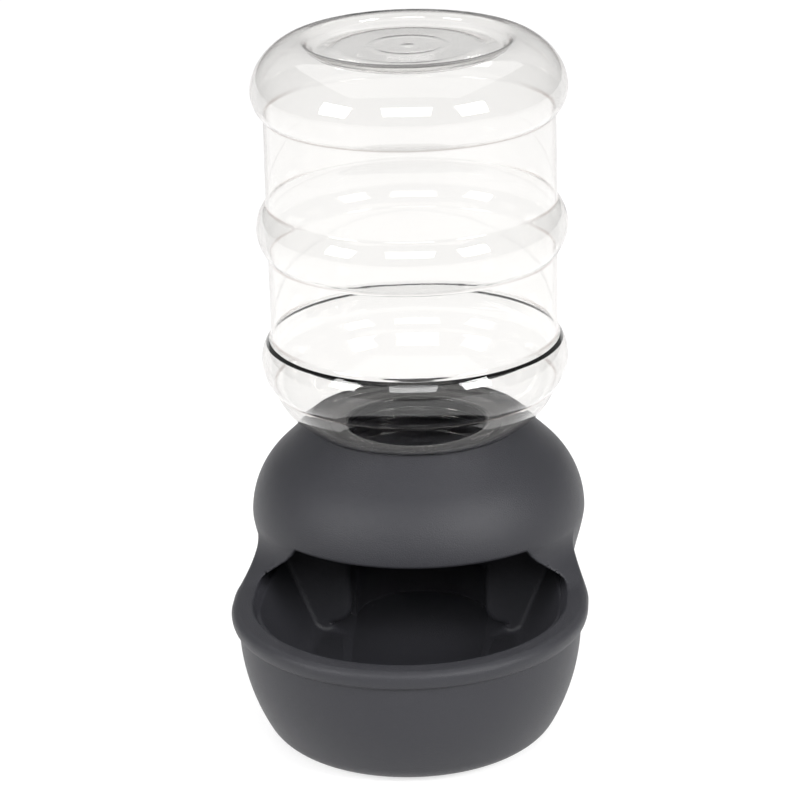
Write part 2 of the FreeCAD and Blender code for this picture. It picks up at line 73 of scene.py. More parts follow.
# Collar: seat of the seal, bore for the neck, and the tube round it
SEAT_RADIUS = 46.5
SEAT_Z = 139.4
BORE_RADIUS = 39.5
BORE_LOW_Z = 114.6
TUBE_RADIUS = 42.1
TUBE_LOW_Z = 112.0

# Water side of the base
FLOOR_Z = 27.0
BASIN_EDGE = (78.6, 70.0)
BASIN_NARROWING = 6.5
RIM_OPENING = 81.2
RIM_NARROWING = 4.0
DOME_CURVE = HOOD_CURVE - HOOD_WALL
DOME_ROOF_Z = 136.6
CHANNEL_Z = 23.3
CHANNEL_HALF = 36.0
THROAT_HALF = 36.5
THROAT_TOP_Z = 65.0
SHAFT_MIDDLE_Z = 89.0
SHAFT_HALF = 25.9

# Bottle, with its shoulder's arc, which the collar's dish follows
NECK_RADIUS = 38.5
MOUTH_Z = 121.7
BOTTLE_Z = 141.7
SHOULDER_CENTRE = (40.7, 178.0)
SHOULDER_REACH = 37.5
SIDE_RADIUS = 76.5
SIDE_WIDENING = 0.3
LOW_CREASE_Z = 166.3
LOW_RING_Z = 180.4
MIDDLE_RING_Z = 253.3
RING_REACH = 20.6
RING_DEPTH = 5.6
CREST = (57.0, 354.8)
TOP_Z = 328.0
TOP_RADIUS = 83.1
TOP_REACH = 17.0
CREASES = (166.5, 194.8, 238.9, 267.7, 315.2)
CREASE_LINE = 1.3
NECK_WALL = 1.6
BOTTLE_WALL = 0.9

# Camera fitted to the photograph
FOCAL_PX = 3500.0
FRAME_PX = 800.0
PITCH_DEG = 20.3
AZIMUTH_DEG = 4.5
ROLL_DEG = 1.47
CAMERA_RANGE = 1881.0
AIM_Z = 154.3
AIM_LEFT = 8.7


def arc_points(centre, radius, start_deg, end_deg, count):
    """Points on an arc in the (radius, height) plane, angles from outwards towards up."""
    angle = np.radians(np.linspace(start_deg, end_deg, count))
    return np.stack([centre[0] + radius * np.cos(angle), centre[1] + radius * np.sin(angle)], 1)


def chain(*parts):
    """One outline out of arcs and single points, in order."""
    return np.concatenate([np.atleast_2d(np.asarray(part, float)) for part in parts])


class Outline:
    """Signed distance to a closed outline in a plane, negative inside, read from a fine table.

    Points on the axis are moved 40 mm across it, so that the axis is no edge.
    """

    def __init__(self, points, low, high, step=0.3):
        points = points - np.where(points[:, :1] == 0, (40.0, 0.0), 0.0)
        self.low = np.array(low, float)
        self.step = step
        count = [int(math.ceil((b - a) / step)) + 1 for a, b in zip(low, high)]
        u = low[0] + step * np.arange(count[0])
        v = low[1] + step * np.arange(count[1])
        u, v = np.meshgrid(u, v, indexing="ij")
        best = np.full(u.shape, 1e9)
        inside = np.zeros(u.shape, bool)
        for a, b in zip(points, np.roll(points, -1, 0)):
            du, dv = b - a
            length = du * du + dv * dv
            if length < 1e-12:
                continue
            t = np.clip(((u - a[0]) * du + (v - a[1]) * dv) / length, 0, 1)
            best = np.minimum(best, (u - a[0] - t * du) ** 2 + (v - a[1] - t * dv) ** 2)
            if dv != 0:
                crosses = ((a[1] > v) != (b[1] > v)) & (u < a[0] + (v - a[1]) * du / dv)
                inside ^= crosses
        self.table = np.where(inside, -1, 1) * np.sqrt(best)
        self.slope_u, self.slope_v = np.gradient(self.table, step)

    def read(self, u, v, *tables):
        """Values of the tables at (u, v)."""
        top = np.array(self.table.shape) - 1.001
        i = np.clip((u - self.low[0]) / self.step, 0, top[0])
        j = np.clip((v - self.low[1]) / self.step, 0, top[1])
        i0, j0 = i.astype(int), j.astype(int)
        fi, fj = i - i0, j - j0
        return [(t[i0, j0] * (1 - fi) + t[i0 + 1, j0] * fi) * (1 - fj)
                + (t[i0, j0 + 1] * (1 - fi) + t[i0 + 1, j0 + 1] * fi) * fj for t in tables]

    def __call__(self, u, v):
        """Distance at (u, v)."""
        return self.read(u, v, self.table)[0]


def fillet_parts(a, b, facing, radius):
    """Union of two distances with a true fillet, and the shares of their directions in its own.

    facing is the cosine between their outward directions. In the corner the value is radius - h, with
    h^2 = (u^2 + v^2 - 2 u v facing) / (1 - facing^2), u = radius - a and v = radius - b.
    """
    facing = np.clip(facing, -0.3, 0.97)
    u, v = radius - a, radius - b
    from_centre = np.sqrt(np.maximum((u * u + v * v - 2 * u * v * facing) / (1 - facing ** 2), 1e-9))
    in_corner = (u > facing * v) & (v > facing * u)
    scale = from_centre * (1 - facing ** 2)
    value = np.where(in_corner, radius - from_centre, np.minimum(a, b))
    of_a = np.where(in_corner, (u - v * facing) / scale, (a < b).astype(float))
    of_b = np.where(in_corner, (v - u * facing) / scale, (a >= b).astype(float))
    return value, of_a, of_b


def join_fillet(a, b, facing, radius):
    """Union of two distances with a true fillet."""
    return fillet_parts(a, b, facing, radius)[0]


def join_round(a, b, radius):
    """Union of two distances with a fillet of this radius in the corner between them."""
    both = np.hypot(np.maximum(radius - a, 0), np.maximum(radius - b, 0))
    return np.maximum(radius, np.minimum(a, b)) - both


def meet_round(a, b, radius):
    """Overlap of two distances with its outer edge rounded."""
    return -join_round(-a, -b, radius)


# Base outlines, (radius, height) about the bowl's centre or the bottle's axis

def skirt_outline():
    """Flat bottom, round corner and bellied skirt, up to inside the lip."""
    curve = 109.0
    middle = (SKIRT_RADIUS - curve, STEP_Z)
    corner_z = BOTTOM_Z + BOTTOM_CORNER
    flat = middle[0] + math.sqrt((curve - BOTTOM_CORNER) ** 2 - (STEP_Z - corner_z) ** 2)
    tangent = math.degrees(math.atan2(corner_z - STEP_Z, flat - middle[0]))
    return chain(
        (0, BOTTOM_Z), arc_points((flat, corner_z), BOTTOM_CORNER, -90, tangent, 20),
        arc_points(middle, curve, tangent, 0, 40)[1:], (SKIRT_RADIUS, RIM_Z - 3.0), (0, RIM_Z - 3.0))


def lip_outline():
    """Side of the lip: leaning out from the step to its widest line, then straight up past the rim."""
    step_round = arc_points((90.6, STEP_Z + 0.8), 0.8, -80, -20, 4)
    side = arc_points((LIP_RADIUS - 10.0, 68.4), 10.0, -28, 0, 8)
    return chain((0, STEP_Z), (90.4, STEP_Z), step_round, side, (LIP_RADIUS, 120.0), (0, 120.0))


def hood_line():
    """Outside of the hood: an arc from its widest ring, then a cone up to the collar's rounded edge."""
    side = arc_points((HOOD_RADIUS - HOOD_CURVE, HOOD_Z), HOOD_CURVE, 0, HOOD_END_DEG, 60)
    return chain(side, arc_points(COLLAR_EDGE, 1.0, HOOD_END_DEG, 120, 6))


def tower_outline():
    """Rear skirt, its wall swelling into the eave, the hood, and the collar's dish, seat and bore."""
    taper = 15.0
    lean = math.tan(math.radians(taper))
    centre_z = BOTTOM_Z + BOTTOM_CORNER
    touch_z = centre_z - BOTTOM_CORNER * math.sin(math.radians(taper))
    centre_r = REAR_RADIUS - (STEP_Z - touch_z) * lean - BOTTOM_CORNER * math.cos(math.radians(taper))
    bottom = arc_points((centre_r, centre_z), BOTTOM_CORNER, -90, -taper, 20)
    rise = np.linspace(0, 1, 40)
    swell = 83.4 + 3.0 * rise + 3.6 * rise ** 2 * (3 - 2 * rise) - 0.1 * np.sin(np.pi * rise)
    wall = np.stack([swell, STEP_Z + (HOOD_Z - STEP_Z) * rise], 1)
    reach = SHOULDER_REACH + 0.6
    dish_r = np.linspace(56.6, 49.2, 12)
    dish_z = SHOULDER_CENTRE[1] - np.sqrt(reach ** 2 - (dish_r - SHOULDER_CENTRE[0]) ** 2)
    seat = [(SEAT_RADIUS, 140.8), (SEAT_RADIUS, SEAT_Z), (BORE_RADIUS, SEAT_Z)]
    return chain(
        (0, BOTTOM_Z), bottom, (REAR_RADIUS, STEP_Z), wall, hood_line(), np.stack([dish_r, dish_z], 1),
        seat, (BORE_RADIUS, BORE_LOW_Z), (0, BORE_LOW_Z))


def basin_outline():
    """Inside of the bowl: floor, round corner, sloping wall, and a wider edge at the rim."""
    slope = 22.0
    lean = math.tan(math.radians(slope))
    corner = 9.0
    centre_z = FLOOR_Z + corner
    touch_z = centre_z - corner * math.sin(math.radians(slope))
    wall_r = BASIN_EDGE[0] - (BASIN_EDGE[1] - touch_z) * lean
    centre_r = wall_r - corner * math.cos(math.radians(slope))
    return chain(
        (0, FLOOR_Z), arc_points((centre_r, centre_z), corner, -90, -slope, 16),
        BASIN_EDGE, (80.6, 73.0), (80.6, 74.0), (0, 74.0))


def dome_outline():
    """Room under the hood: the hood's arc and cone one wall further in, and a flat roof."""
    low_z = 86.0
    end = math.radians(HOOD_END_DEG)
    last = (HOOD_RADIUS - HOOD_CURVE + DOME_CURVE * math.cos(end), HOOD_Z + DOME_CURVE * math.sin(end))
    run = (DOME_ROOF_Z - last[1]) * math.tan(end)
    side = arc_points((HOOD_RADIUS - HOOD_CURVE, HOOD_Z), DOME_CURVE, 0, HOOD_END_DEG, 50)
    return chain(
        (0, low_z), (HOOD_RADIUS - HOOD_WALL, low_z), side, (last[0] - run, DOME_ROOF_Z), (0, DOME_ROOF_Z))


def window_outline():
    """Half of the opening under the hood, (distance from the middle, height)."""
    ear = [(79.6, 74.6), (72.0, 80.4), (66.0, 85.4), (62.6, 89.4), (60.6, HOOD_Z)]
    return chain((0, 69.0), (BASIN_EDGE[0], 69.0), (RIM_OPENING, 71.5), (80.9, 73.0), ear, (0, HOOD_Z))


def throat_outline():
    """Half of the way from the chamber into the bowl: channel, banks, rounded panel corner and roof."""
    return chain(
        (0, CHANNEL_Z), (CHANNEL_HALF, CHANNEL_Z), (45.5, 28.6), (46.6, 29.4),
        arc_points((46.6, 41.0), 10.1, -92, -178, 14), (THROAT_HALF, THROAT_TOP_Z), (0, THROAT_TOP_Z))


SKIRT = Outline(skirt_outline(), (-4, -30), (160, 180))
LIP = Outline(lip_outline(), (-4, 20), (160, 140))
TOWER = Outline(tower_outline(), (-4, -30), (180, 190))
BASIN = Outline(basin_outline(), (-4, -4), (150, 150))
DOME = Outline(dome_outline(), (-4, 40), (150, 170))
WINDOW = Outline(window_outline(), (-4, 20), (150, 160))
THROAT = Outline(throat_outline(), (-4, -4), (150, 150))


def outer_distance(side, y, z):
    """Signed distance to the outside: skirt and lip about the bowl's centre, tower about the bottle's axis.

    A fillet joins skirt and tower. The lip's side and its flat top are each joined to the tower first. The
    lip's round edge then follows the line where the two joined faces meet, up the saddle to the hood.
    """
    along = y - BOWL_Y - np.clip(y - BOWL_Y, 0, BOWL_STRETCH)
    from_bowl = np.hypot(side, along)
    from_axis = np.hypot(side, y - AXIS_Y)
    skirt, skirt_out, skirt_up = SKIRT.read(from_bowl, z, SKIRT.table, SKIRT.slope_u, SKIRT.slope_v)
    tower, tower_out, tower_up = TOWER.read(from_axis, z, TOWER.table, TOWER.slope_u, TOWER.slope_v)
    level = (side * side + along * (y - AXIS_Y)) / np.maximum(from_bowl * from_axis, 1.0)
    lower = join_fillet(skirt, tower, skirt_out * tower_out * level + skirt_up * tower_up, SADDLE)
    rim, rim_out, rim_up = LIP.read(from_bowl, z, LIP.table, LIP.slope_u, LIP.slope_v)
    rim_to_tower = rim_out * tower_out * level + rim_up * tower_up
    edge, edge_lip, edge_tower = fillet_parts(rim, tower, rim_to_tower, WAIST)
    top, top_rim, top_tower = fillet_parts(z - RIM_Z, tower, tower_up, SADDLE)
    facing = edge_lip * (top_rim * rim_up + top_tower * rim_to_tower)
    facing += edge_tower * (top_rim * tower_up + top_tower)
    lip = -join_fillet(-edge, -top, facing, LIP_ROUND)
    return np.minimum(lower, lip), from_bowl, from_axis


def water_distance(side, y, z, from_bowl, from_axis):
    """Signed distance to the water side, the union of its rooms.

    In front of a flat panel lie the basin, the opening under the hood, and the room under the dome less the
    collar's tube. Behind the panel a way with a round end leads back under the bottle, and the shaft comes
    down into it. The channel in the basin's floor narrows and gets steeper banks as it runs forward.
    """
    behind = np.maximum(y - BOWL_Y, 0) / 60.0
    plan = np.where(y < BOWL_Y, from_bowl, side + BASIN_NARROWING * behind ** 2)
    at_tail = np.maximum(y + 5.0, 0) / 27.0
    rim = np.where(y < BOWL_Y, from_bowl, side) - RIM_OPENING + RIM_NARROWING * at_tail ** 2
    panel = y - PANEL_Y
    tube = np.maximum(from_axis - TUBE_RADIUS, TUBE_LOW_Z - z)
    front = join_round(BASIN(plan, z), np.maximum(WINDOW(side, z), rim), 0.8)
    front = join_round(front, np.maximum(DOME(from_axis, z), -tube), 1.2)
    front = meet_round(front, panel, 2.5)
    way_start, way_end = PANEL_Y - 6.0, AXIS_Y + 8.0
    way = np.maximum(THROAT(side, z), np.maximum(way_start - y, y - way_end))
    back = np.maximum(np.hypot(side, y - way_end) - THROAT_HALF, THROAT(np.zeros_like(z), z))
    shaft = np.maximum(from_axis - BORE_RADIUS, (PANEL_Y + 3.0) - y)
    shaft = np.maximum(shaft, np.abs(z - SHAFT_MIDDLE_Z) - SHAFT_HALF)
    reach = np.clip((PANEL_Y - y) / 105.0, 0, 1)
    bank = side - (CHANNEL_HALF - 6.0 * reach) - (z - CHANNEL_Z) * (1.6 - 1.3 * reach)
    channel = np.maximum(np.maximum(bank * 0.55, CHANNEL_Z - z), z - 32.0)
    channel = np.maximum(channel, np.maximum(panel - 1.0, (AXIS_Y - 125.0) - y))
    water = join_round(front, np.minimum(way, back), 4.0)
    return np.minimum(np.minimum(water, channel), shaft)


def base_distance(p):
    """Signed distance to the moulded base: its outside less its water side, with soft edges."""
    side, y, z = np.abs(p[..., 0]), p[..., 1], p[..., 2]
    outside, from_bowl, from_axis = outer_distance(side, y, z)
    return meet_round(outside, -water_distance(side, y, z, from_bowl, from_axis), EDGE_ROUND)


def gradient(distance, p, step=0.35):
    """Slope of a distance by central differences."""
    slope = np.empty_like(p)
    for k in range(3):
        shift = np.zeros(3)
        shift[k] = step
        slope[..., k] = (distance(p + shift) - distance(p - shift)) / (2 * step)
    return slope


def cell_points(value, cells, cell, low):
    """Mean of the edge crossings of each cell, each found by straight steps between the corners' values."""
    points = np.zeros((len(cells), 3))
    count = np.zeros(len(cells))
    for axis in range(3):
        others = [k for k in range(3) if k != axis]
        for a in (0, 1):
            for b in (0, 1):
                start = np.zeros(3, int)
                start[others[0]], start[others[1]] = a, b
                stop = start.copy()
                stop[axis] = 1
                v0, v1 = value[tuple((cells + start).T)], value[tuple((cells + stop).T)]
                crossed = (v0 < 0) != (v1 < 0)
                t = np.where(crossed, v0 / np.where(crossed, v0 - v1, 1), 0)
                points += crossed[:, None] * (start + t[:, None] * (stop - start))
                count += crossed
    return (cells + points / count[:, None]) * cell + low


def cell_quads(inside, number, shape):
    """A quad between the four cells round each grid edge that crosses the surface, facing outwards."""
    quads = []
    for axis in range(3):
        b, c = [(axis + 1) % 3, (axis + 2) % 3]
        first = [slice(1, n - 1) for n in shape]
        first[axis] = slice(0, shape[axis] - 1)
        second = list(first)
        second[axis] = slice(1, shape[axis])
        at = np.argwhere(inside[tuple(first)] != inside[tuple(second)]) + 1
        at[:, axis] -= 1
        out = ~inside[tuple((at + np.eye(3, dtype=int)[axis]).T)]
        ring = []
        for db, dc in ((-1, -1), (0, -1), (0, 0), (-1, 0)):
            step = np.zeros(3, int)
            step[b], step[c] = db, dc
            ring.append(number[tuple((at + step).T)])
        ring = np.stack(ring, 1)
        quads.append(np.where(out[:, None], ring, ring[:, ::-1]))
    return np.concatenate(quads)


def surface_net(distance, low, high, cell):
    """Quads of a distance's zero surface: one point in each crossed cell, evened out and drawn on to it."""
    axes = [np.arange(a, b + cell, cell) for a, b in zip(low, high)]
    shape = [len(a) for a in axes]
    value = np.empty(shape)
    y, z = np.meshgrid(axes[1], axes[2], indexing="ij")
    for i, x in enumerate(axes[0]):
        value[i] = distance(np.stack([np.full_like(y, x), y, z], -1))
    inside = value < 0
    total = np.zeros([n - 1 for n in shape], int)
    for i in (0, 1):
        for j in (0, 1):
            for k in (0, 1):
                total += inside[i:shape[0] - 1 + i, j:shape[1] - 1 + j, k:shape[2] - 1 + k]
    cells = np.argwhere((total > 0) & (total < 8))
    number = np.full(total.shape, -1)
    number[tuple(cells.T)] = np.arange(len(cells))
    points = cell_points(value, cells, cell, np.array([a[0] for a in axes]))
    quads = cell_quads(inside, number, shape)
    for round_number in range(4):
        if round_number in (1, 2):
            points = relaxed(points, quads)
        points = drawn_on(distance, points, 0.5 * cell)
    return points, quads


def drawn_on(distance, points, longest):
    """Points moved on to the zero surface by two Newton steps."""
    for _ in range(2):
        slope = gradient(distance, points)
        size = np.maximum((slope ** 2).sum(-1), 0.05)
        move = (distance(points) / size)[:, None] * slope
        points = points - np.clip(move, -longest, longest)
    return points


def refined(distance, points, triangles, bend_deg, shortest, rounds):
    """Splits edges whose ends face more than an angle apart, and puts each new point on the surface."""
    for _ in range(rounds):
        facing = gradient(distance, points)
        facing /= np.maximum(np.linalg.norm(facing, axis=1, keepdims=True), 1e-9)
        ends = np.sort(np.concatenate([triangles[:, [0, 1]], triangles[:, [1, 2]], triangles[:, [2, 0]]]), 1)
        code, back = np.unique(ends[:, 0] * len(points) + ends[:, 1], return_inverse=True)
        a, b = code // len(points), code % len(points)
        length = np.linalg.norm(points[a] - points[b], axis=1)
        split = ((facing[a] * facing[b]).sum(1) < math.cos(math.radians(bend_deg))) & (length > shortest)
        number = np.where(split, len(points) + np.cumsum(split) - 1, -1)
        middle = drawn_on(distance, (points[a[split]] + points[b[split]]) / 2, shortest)
        points = np.concatenate([points, middle])
        cut = number[back.reshape(-1)].reshape(3, -1).T
        pieces = [triangles[(cut < 0).all(1)]]
        whole = (cut >= 0).all(1)
        t, m = triangles[whole], cut[whole]
        pieces += [np.stack([t[:, k], m[:, k], m[:, k - 1]], 1) for k in range(3)]
        pieces.append(m)
        for k in range(3):
            t, m = np.roll(triangles, -k, 1), np.roll(cut, -k, 1)
            one = (m[:, 0] >= 0) & (m[:, 1] < 0) & (m[:, 2] < 0)
            pieces.append(np.stack([t[one, 0], m[one, 0], t[one, 2]], 1))
            pieces.append(np.stack([m[one, 0], t[one, 1], t[one, 2]], 1))
            two = (m[:, 0] >= 0) & (m[:, 1] >= 0) & (m[:, 2] < 0)
            pieces.append(np.stack([m[two, 0], t[two, 1], m[two, 1]], 1))
            pieces.append(np.stack([t[two, 0], m[two, 0], m[two, 1]], 1))
            pieces.append(np.stack([t[two, 0], m[two, 1], t[two, 2]], 1))
        triangles = np.concatenate(pieces)
    return points, triangles, gradient(distance, points)


def relaxed(points, quads):
    """Points moved half-way to the mean of their neighbours, for even quads."""
    total = np.zeros_like(points)
    count = np.zeros(len(points))
    for a, b in ((0, 1), (1, 2), (2, 3), (3, 0)):
        for i, j in ((a, b), (b, a)):
            np.add.at(total, quads[:, i], points[quads[:, j]])
            np.add.at(count, quads[:, i], 1)
    return points + 0.5 * (total / count[:, None] - points)


def mesh_object(name, points, faces, normals=None):
    """Mesh object at the origin from points in millimetres."""
    mesh = bpy.data.meshes.new(name)
    mesh.from_pydata((points * MM).tolist(), [], faces.tolist())
    mesh.update()
    mesh.polygons.foreach_set("use_smooth", np.ones(len(mesh.polygons), bool))
    if normals is not None:
        unit = normals / np.maximum(np.linalg.norm(normals, axis=1, keepdims=True), 1e-9)
        mesh.normals_split_custom_set_from_vertices(unit.tolist())
    piece = bpy.data.objects.new(name, mesh)
    bpy.context.collection.objects.link(piece)
    return piece


def make_base():
    """Moulded base, finer where it bends, with its normals taken from the distance."""
    low = (-97.0, BOWL_Y - LIP_RADIUS - 3.0, -1.0)
    high = (97.0, AXIS_Y + HOOD_RADIUS + 3.0, 147.0)
    points, quads = surface_net(base_distance, low, high, 2.25)
    triangles = np.concatenate([quads[:, [0, 1, 2]], quads[:, [0, 2, 3]]])
    points, triangles, slopes = refined(base_distance, points, triangles, 11.0, 0.55, 2)
    return mesh_object("base_moulded", points, triangles, slopes)


# Bottle, an outer and an inner profile turned about the axis, with a thread on the neck

def swelling(z, middle, side, depth, reach):
    """Radius of a ring: the side, or a circular arc that stands out from it, with soft joints."""
    arc = side + depth - reach + np.sqrt(np.maximum(reach ** 2 - (z - middle) ** 2, 1.0))
    soft = 0.7
    mix = np.maximum(soft - np.abs(arc - side), 0) / soft
    return np.maximum(arc, side) + mix * mix * soft / 4


def bottle_side(z):
    """Radius of the bottle's side between the first crease and the top ring's widest line."""
    side = SIDE_RADIUS + SIDE_WIDENING * np.clip((z - 200) / 60, 0, 1)
    low = swelling(z, LOW_RING_Z, side, RING_DEPTH - 0.2, RING_REACH)
    middle = swelling(z, MIDDLE_RING_Z, side, RING_DEPTH, RING_REACH)
    top = swelling(z, TOP_Z, side, TOP_RADIUS - SIDE_RADIUS - SIDE_WIDENING, TOP_REACH)
    return np.maximum(np.maximum(low, middle), top)


def bottle_profile():
    """Outer line of the bottle from the mouth up to the middle of its recessed end.

    The crown is a quarter of a superellipse. The recessed end has a raised ring and a raised dot.
    """
    neck_z = np.arange(MOUTH_Z, BOTTLE_Z - 1.2, 0.5)
    neck = np.stack([np.full_like(neck_z, NECK_RADIUS), neck_z], 1)
    root = arc_points((NECK_RADIUS + 1.2, BOTTLE_Z - 1.2), 1.2, 180, 90, 6)
    start = math.degrees(math.acos((50.0 - SHOULDER_CENTRE[0]) / SHOULDER_REACH))
    stop = math.degrees(math.asin((SHOULDER_CENTRE[1] - LOW_CREASE_Z) / SHOULDER_REACH))
    shoulder = arc_points(SHOULDER_CENTRE, SHOULDER_REACH, -start, -stop, 26)
    z = np.linspace(LOW_CREASE_Z + 0.4, TOP_Z, 70)
    z = np.union1d(z, np.concatenate([height + np.linspace(-2.4, 2.4, 15) for height in CREASES[1:]]))
    side = np.stack([bottle_side(z), z], 1)
    t = np.linspace(0, math.pi / 2, 34)[1:]
    power = 2 / 1.82
    across, up = TOP_RADIUS - CREST[0], CREST[1] - TOP_Z
    crown = np.stack([CREST[0] + across * np.cos(t) ** power, TOP_Z + up * np.sin(t) ** power], 1)
    crown[-1] = CREST
    dip = arc_points((CREST[0], CREST[1] - 4.6), 4.6, 90, 172, 9)[1:]
    floor = arc_points((47.6, 351.6), 3.2, -30, -100, 6)
    end_r = np.linspace(44.0, 0, 26)
    rise = np.clip((44.0 - end_r) / 8, 0, 1)
    end_z = 348.6 + 1.8 * rise ** 2 * (3 - 2 * rise)
    end_z = end_z + 0.35 * np.exp(-((end_r - 19.0) / 1.2) ** 2) + 0.5 * np.exp(-(end_r / 2.6) ** 2)
    end = np.stack([end_r, end_z], 1)
    return chain(neck, root, (46.0, BOTTLE_Z), shoulder, side, crown, dip, floor, end)


def turned_mesh(profile, count, bend=None):
    """Profile (radius, height) turned about the bottle's axis, its radius changed by bend if given."""
    turn = np.linspace(0, 2 * math.pi, count, endpoint=False)
    radius, z = profile[:, 0][:, None], profile[:, 1][:, None]
    if bend is not None:
        radius = radius + bend(turn[None, :], z, radius)
    x = radius * np.sin(turn)
    y = AXIS_Y - radius * np.cos(turn)
    points = np.stack([x, y, np.broadcast_to(z, x.shape)], -1).reshape(-1, 3)
    rows = len(profile)
    i, j = np.meshgrid(np.arange(rows - 1), np.arange(count), indexing="ij")
    k = (j + 1) % count
    row, above = i * count, (i + 1) * count
    quads = np.stack([row + j, row + k, above + k, above + j], -1)
    return points, quads.reshape(-1, 4)


def thread(turn, z, radius):
    """One ridge round the neck that climbs 5 mm a turn, fading in and out at its ends."""
    pitch = 5.0
    height = np.mod(z - MOUTH_Z - 3.0 - pitch * turn / (2 * math.pi), pitch) / pitch
    ridge = np.clip(1 - np.abs(height - 0.5) * 4.2, 0, 1)
    ends = np.clip((z - MOUTH_Z - 3.0) / 1.5, 0, 1) * np.clip((MOUTH_Z + 15.0 - z) / 1.5, 0, 1)
    on_neck = (np.abs(radius - NECK_RADIUS) < 0.05) & (z < BOTTLE_Z - 1.3)
    return np.where(on_neck, 0.85 * ridge * ends, 0)


def inner_profile(outer, wall):
    """Outer line moved inwards by the wall's thickness along its normal."""
    along = np.gradient(outer, axis=0)
    normal = np.stack([along[:, 1], -along[:, 0]], 1)
    normal /= np.maximum(np.linalg.norm(normal, axis=1, keepdims=True), 1e-9)
    inner = outer - wall[:, None] * normal
    inner[:, 0] = np.maximum(inner[:, 0], 0)
    inner[-1, 0] = 0
    inner[0, 1] = outer[0, 1]
    return inner


def make_bottle():
    """Clear bottle with a real wall, closed at the mouth's edge and at the middle of its end."""
    count = 168
    outer = bottle_profile()
    wall = np.where(outer[:, 1] < BOTTLE_Z - 0.5, NECK_WALL, BOTTLE_WALL)
    inner = inner_profile(outer, wall)
    points_out, quads_out = turned_mesh(outer, count, thread)
    points_in, quads_in = turned_mesh(inner, count)
    rows = len(outer)
    shift = rows * count
    j = np.arange(count)
    k = (j + 1) % count
    mouth = np.stack([k, j, shift + j, shift + k], 1)
    faces = np.concatenate([quads_out, quads_in[:, ::-1] + shift, mouth])
    piece = mesh_object("bottle_clear", np.concatenate([points_out, points_in]), faces)
    weld(piece)
    return piece


def weld(piece):
    """Merges doubled points and points all faces outwards."""
    mesh = bmesh.new()
    mesh.from_mesh(piece.data)
    bmesh.ops.remove_doubles(mesh, verts=mesh.verts, dist=1e-6)
    bmesh.ops.recalc_face_normals(mesh, faces=mesh.faces)
    mesh.to_mesh(piece.data)
    mesh.free()


# Materials

def grain_group():
    """Fine moulded texture: two sizes of rounded specks, as a height and a tone."""
    group = bpy.data.node_groups.new("moulded_grain", "ShaderNodeTree")
    group.interface.new_socket("Size", in_out="INPUT", socket_type="NodeSocketFloat").default_value = 1400.0
    group.interface.new_socket("Depth", in_out="INPUT", socket_type="NodeSocketFloat").default_value = 1.0
    group.interface.new_socket("Height", in_out="OUTPUT", socket_type="NodeSocketFloat")
    group.interface.new_socket("Tone", in_out="OUTPUT", socket_type="NodeSocketFloat")
    nodes, links = group.nodes, group.links
    given = nodes.new("NodeGroupInput")
    result = nodes.new("NodeGroupOutput")
    where = nodes.new("ShaderNodeTexCoord")
    fine = nodes.new("ShaderNodeTexNoise")
    fine.inputs["Detail"].default_value = 3.0
    fine.inputs["Roughness"].default_value = 0.55
    broad = nodes.new("ShaderNodeTexNoise")
    broad.inputs["Scale"].default_value = 22.0
    broad.inputs["Detail"].default_value = 4.0
    scaled = nodes.new("ShaderNodeMath")
    scaled.operation = "MULTIPLY"
    links.new(where.outputs["Object"], fine.inputs["Vector"])
    links.new(where.outputs["Object"], broad.inputs["Vector"])
    links.new(given.outputs["Size"], fine.inputs["Scale"])
    links.new(fine.outputs["Fac"], scaled.inputs[0])
    links.new(given.outputs["Depth"], scaled.inputs[1])
    links.new(scaled.outputs[0], result.inputs["Height"])
    links.new(broad.outputs["Fac"], result.inputs["Tone"])
    return group


def plastic(name, dark, light, roughness, size, depth, group):
    """Moulded plastic or rubber: grain in its height, faint mottling in its tone and gloss."""
    material = bpy.data.materials.new(name)
    material.use_nodes = True
    nodes, links = material.node_tree.nodes, material.node_tree.links
    shader = nodes["Principled BSDF"]
    shader.inputs["Specular IOR Level"].default_value = 0.26
    grain = nodes.new("ShaderNodeGroup")
    grain.node_tree = group
    grain.inputs["Size"].default_value = size
    grain.inputs["Depth"].default_value = 1.0
    colour = nodes.new("ShaderNodeMix")
    colour.data_type = "RGBA"
    colour.inputs["A"].default_value = (*dark, 1)
    colour.inputs["B"].default_value = (*light, 1)
    gloss = nodes.new("ShaderNodeMapRange")
    gloss.inputs["To Min"].default_value = roughness - 0.03
    gloss.inputs["To Max"].default_value = roughness + 0.05
    bump = nodes.new("ShaderNodeBump")
    bump.inputs["Strength"].default_value = depth
    bump.inputs["Distance"].default_value = 0.0004
    links.new(grain.outputs["Tone"], colour.inputs["Factor"])
    links.new(colour.outputs["Result"], shader.inputs["Base Color"])
    links.new(grain.outputs["Tone"], gloss.inputs["Value"])
    links.new(gloss.outputs["Result"], shader.inputs["Roughness"])
    links.new(grain.outputs["Height"], bump.inputs["Height"])
    links.new(bump.outputs["Normal"], shader.inputs["Normal"])
    return material


